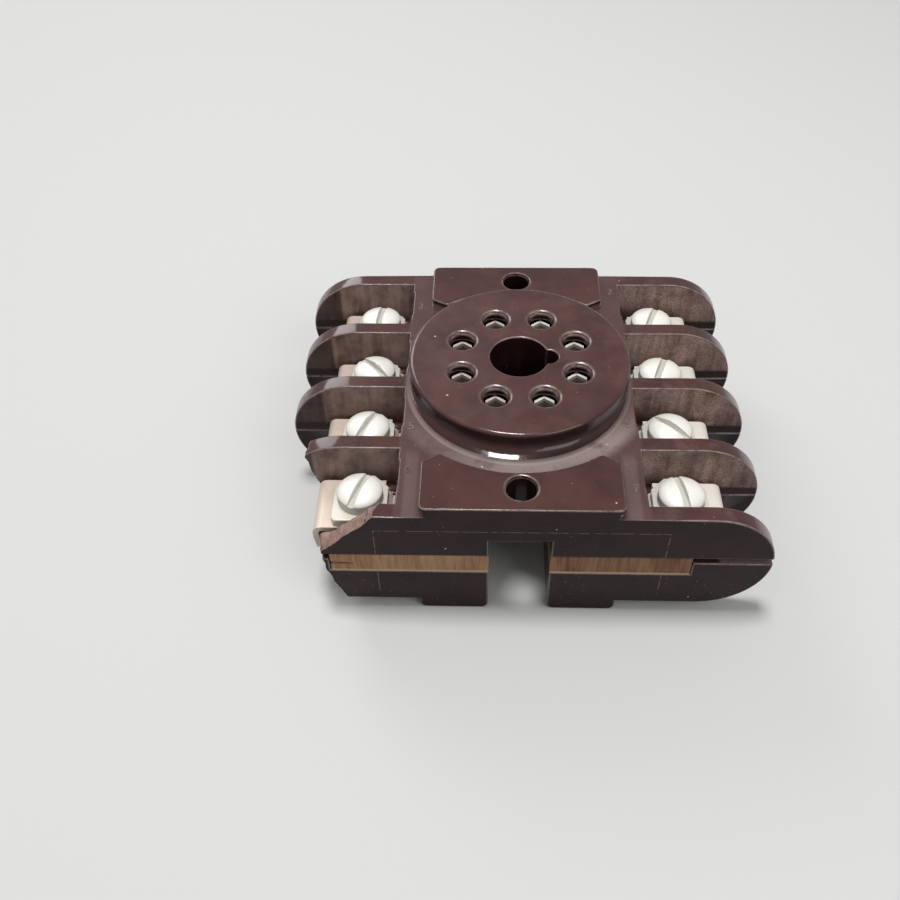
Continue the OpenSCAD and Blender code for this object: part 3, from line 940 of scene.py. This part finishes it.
@dataclass
class Thread:
    """The helical ridge of a terminal screw's thread."""

    core_r: float = 1.36
    crest_r: float = 1.74
    pitch: float = 0.6
    low_z: float = 7.5
    high_z: float = 14.9
    steps: int = 30
    buried: float = 0.1
    foot_share: float = 0.42
    crest_share: float = 0.07

    def build(self, ending: str, x: float, y: float, finish: bpy.types.Material) -> bpy.types.Object:
        """Makes the ridge of one screw.

        At a turn of t, the ridge's section is a closed outline of four points: the low foot
        inside the core, the low and the high edge of the crest, and the high foot. It stands at
        the height low_z + pitch * t / 2 pi. Over the first and the last half turn the crest
        sinks into the core.

        Args:
            ending: The side and row, as the nodes spell them.
            x: Where the screw's axis stands across the socket.
            y: Where it stands from front to back.
            finish: The material.

        Returns:
            The piece.
        """
        turns = (self.high_z - self.low_z) / self.pitch
        t = np.linspace(0.0, 2 * math.pi * turns, int(turns * self.steps))
        sink = np.clip(np.minimum(t, t[-1] - t) / math.pi, 0.0, 1.0)
        start = self.core_r - self.buried / 2
        crest = start + (self.crest_r - start) * sink
        inner = np.full_like(t, self.core_r - self.buried)
        height = self.low_z + self.pitch * t / (2 * math.pi)
        radii = np.stack([inner, crest, crest, inner], axis=1)
        shares = (-self.foot_share, -self.crest_share, self.crest_share, self.foot_share)
        lifts = np.array(shares) * self.pitch
        points = np.stack(
            [
                x + radii * np.cos(t)[:, None],
                y + radii * np.sin(t)[:, None],
                height[:, None] + lifts[None, :],
            ],
            axis=2,
        ).reshape(-1, 3)
        ring = np.arange(len(t) - 1)[:, None] * 4 + np.arange(4)[None, :]
        after = np.arange(len(t) - 1)[:, None] * 4 + (np.arange(4)[None, :] + 1) % 4
        quads = np.stack([ring, ring + 4, after + 4, after], axis=2).reshape(-1, 4)
        last = (len(t) - 1) * 4
        faces = [*quads.tolist(), [0, 1, 2, 3], [last + 3, last + 2, last + 1, last]]
        mesh = bpy.data.meshes.new(f"screw_thread_{ending}")
        mesh.from_pydata((points * MM).tolist(), [], faces)
        mesh.materials.append(finish)
        piece = bpy.data.objects.new(f"screw_thread_{ending}", mesh)
        bpy.context.scene.collection.objects.link(piece)
        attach(piece, f"screw_{ending}")
        return piece


@dataclass
class Sheets:
    """The two sheets of insulating laminate."""

    low_z: float = 8.5

    def dress(self, frame: dict[str, Any]) -> None:
        """Gives the sheets their finish.

        Args:
            frame: The loaded frame.
        """
        left = PaperLaminate("laminate_left", (0.34, 0.175, 0.095), (0.60, 0.36, 0.205), self.low_z)
        right = PaperLaminate("laminate_right", (0.15, 0.068, 0.037), (0.40, 0.215, 0.125), self.low_z)
        for side, finish in ((Side.LEFT, left), (Side.RIGHT, right)):
            paint(frame["nodes"][f"insulating_sheet_{side.word}"], finish.material())


@dataclass
class Terminals:
    """The contact strips, clamp plates and slotted screws of both rows."""

    head_top: float = 17.7
    slot_floor: float = 16.6
    axis_x: float = 21.5
    pitch: float = 12.0
    middle_row: float = 2.5
    core_r: float = 1.36

    def build(self, frame: dict[str, Any]) -> list[bpy.types.Object]:
        """Makes the screws, their threads and the clamp plates, and finishes the strips.

        Args:
            frame: The loaded frame.

        Returns:
            The finished pieces.
        """
        # Below this height inside the pin-hole wells the strips carry painted shade.
        well = {"well_z": 22.85, "well_x": 14.5}
        strips = {
            Side.LEFT: Plate(
                "tinned_strip_left",
                (0.83, 0.70, 0.60),
                (0.60, 0.49, 0.41),
                stains=0.3,
                metallic=0.2,
                **well,
            ).material(),
            Side.RIGHT: Plate(
                "tinned_strip_right",
                (0.92, 0.88, 0.80),
                (0.78, 0.72, 0.63),
                stains=0.15,
                metallic=0.2,
                **well,
            ).material(),
        }
        clamp = Plate(
            "clamp_plating", (0.82, 0.80, 0.71), (0.64, 0.61, 0.53), stains=0.25, metallic=0.25
        ).material()
        screw = Plate(
            "screw_plating",
            (0.92, 0.91, 0.855),
            (0.84, 0.82, 0.75),
            stains=0.10,
            metallic=0.12,
            # The slot's colour grows darker towards its floor.
            low_from=self.head_top - 0.35,
            low_to=self.slot_floor,
            low_share=0.42,
        ).material()
        made = []
        for side in Side:
            for row in ROWS:
                ending = f"{side.word}_{row}"
                paint(frame["nodes"][f"contact_strip_{ending}"], strips[side])
                made.append(
                    DressedCopy(
                        node=f"clamp_plate_{ending}",
                        body=f"clamp_{ending}",
                        slot="clamp_metal",
                        finishes=[clamp],
                        edge_r=0.16,
                    ).build(frame)
                )
                made.append(
                    DressedCopy(
                        node=f"terminal_screw_{ending}",
                        body=f"screw_{ending}",
                        slot="screw_metal",
                        finishes=[screw],
                        edge_r=0.1,
                        shank_r=self.core_r,
                    ).build(frame)
                )
                axis = (side.value * self.axis_x, (self.middle_row - row) * self.pitch)
                made.append(Thread(core_r=self.core_r).build(ending, *axis, screw))
        return made


@dataclass
class BaseScrews:
    """The four screws that hold the base mouldings."""

    def dress(self, frame: dict[str, Any]) -> None:
        """Gives the screws their finish.

        Args:
            frame: The loaded frame.
        """
        finish = Plate("base_screw_plating", (0.62, 0.60, 0.56), (0.42, 0.40, 0.36)).material()
        for side in Side:
            for end in ("front", "back"):
                paint(frame["nodes"][f"base_screw_{side.word}_{end}"], finish)


@dataclass(frozen=True)
class Lamp:
    """A square lamp that looks at the socket: place and side in millimetres, power in watts."""

    name: str
    place: Colour
    size: float
    power: float


@dataclass
class Studio:
    """Pale floor, soft lamps and the camera."""

    lens: float = 37.785
    sensor: float = 36.0
    elevation: float = 47.125
    yaw: float = 2.994
    roll: float = -1.689
    aim: Colour = (0.0, 0.0, 25.0)
    right_of_aim: float = 9.714
    above_aim: float = 13.173
    distance: float = 132.429
    floor_w: float = 6000.0
    lamps: tuple[Lamp, ...] = (
        Lamp("key", (-30.0, 10.0, 520.0), 105.0, 1.75),
        Lamp("back", (-260.0, 420.0, 330.0), 260.0, 0.8),
        Lamp("fill", (320.0, -330.0, 420.0), 320.0, 0.7),
    )
    sky_strength: float = 0.38

    def axes(self) -> tuple[Vector, Vector, Vector]:
        """The camera's right, up and forward directions.

        Forward points down by the elevation and is turned by the yaw. Right and up are then
        turned about it by the roll.
        """
        yaw, tilt, roll = (math.radians(a) for a in (self.yaw, self.elevation, self.roll))
        level = Vector((math.cos(yaw), math.sin(yaw), 0))
        forward = Vector(
            (-math.sin(yaw) * math.cos(tilt), math.cos(yaw) * math.cos(tilt), -math.sin(tilt))
        )
        above = level.cross(forward)
        right = level * math.cos(roll) + above * math.sin(roll)
        up = above * math.cos(roll) - level * math.sin(roll)
        return right, up, forward

    def camera(self) -> None:
        """Places the camera."""
        right, up, forward = self.axes()
        offset = right * self.right_of_aim + up * self.above_aim + forward * self.distance
        place = Vector(self.aim) - offset
        turn = Matrix((right, up, -forward)).transposed().to_4x4()
        data = bpy.data.cameras.new("camera")
        data.lens = self.lens
        data.sensor_width = self.sensor
        data.clip_start = 5 * MM
        camera = bpy.data.objects.new("camera", data)
        camera.matrix_world = Matrix.Translation(place * MM) @ turn
        bpy.context.scene.collection.objects.link(camera)
        bpy.context.scene.camera = camera

    def hang(self, lamp: Lamp) -> None:
        """Adds one lamp.

        Args:
            lamp: The lamp.
        """
        data = bpy.data.lights.new(lamp.name, "AREA")
        data.size = lamp.size * MM
        data.energy = lamp.power
        hung = bpy.data.objects.new(lamp.name, data)
        place = Vector(lamp.place)
        away = (place - Vector(self.aim)).normalized()
        turn = away.to_track_quat("Z", "Y").to_matrix().to_4x4()
        hung.matrix_world = Matrix.Translation(place * MM) @ turn
        bpy.context.scene.collection.objects.link(hung)

    def floor(self) -> None:
        """Lays the pale floor."""
        half = self.floor_w / 2 * MM
        mesh = bpy.data.meshes.new("floor")
        corners = [(-half, -half, 0), (half, -half, 0), (half, half, 0), (-half, half, 0)]
        mesh.from_pydata(corners, [], [(0, 1, 2, 3)])
        mesh.materials.append(PaleFloor().material())
        floor = bpy.data.objects.new("floor", mesh)
        bpy.context.scene.collection.objects.link(floor)

    def sky(self) -> None:
        """Fills the room with even white light."""
        world = bpy.data.worlds.new("room")
        world.use_nodes = True
        light = world.node_tree.nodes["Background"].inputs
        light["Color"].default_value = (1, 1, 1, 1)
        light["Strength"].default_value = self.sky_strength
        bpy.context.scene.world = world

    def build(self) -> None:
        """Makes the whole studio."""
        bpy.context.scene.view_settings.view_transform = "Standard"
        self.camera()
        self.floor()
        for lamp in self.lamps:
            self.hang(lamp)
        self.sky()


def paint(piece: bpy.types.Object, finish: bpy.types.Material) -> None:
    """Gives a carried-over node its finish.

    Args:
        piece: The node's object.
        finish: The material for all its faces.
    """
    piece.data.materials.clear()
    piece.data.materials.append(finish)


def main() -> None:
    """Builds the socket around the frame, sub-assembly by sub-assembly."""
    logging.basicConfig(level=logging.INFO, format="%(message)s")
    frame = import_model()
    Studio().build()
    LOG.info("studio ready")
    for piece in Mouldings().build(frame):
        LOG.info("%s: %d faces", piece.name, len(piece.data.polygons))
    Sheets().dress(frame)
    numerals = Numerals().build()
    LOG.info("%s: %d faces", numerals.name, len(numerals.data.polygons))
    for piece in Terminals().build(frame):
        LOG.info("%s: %d faces", piece.name, len(piece.data.polygons))
    BaseScrews().dress(frame)


if __name__ == "__main__":
    main()
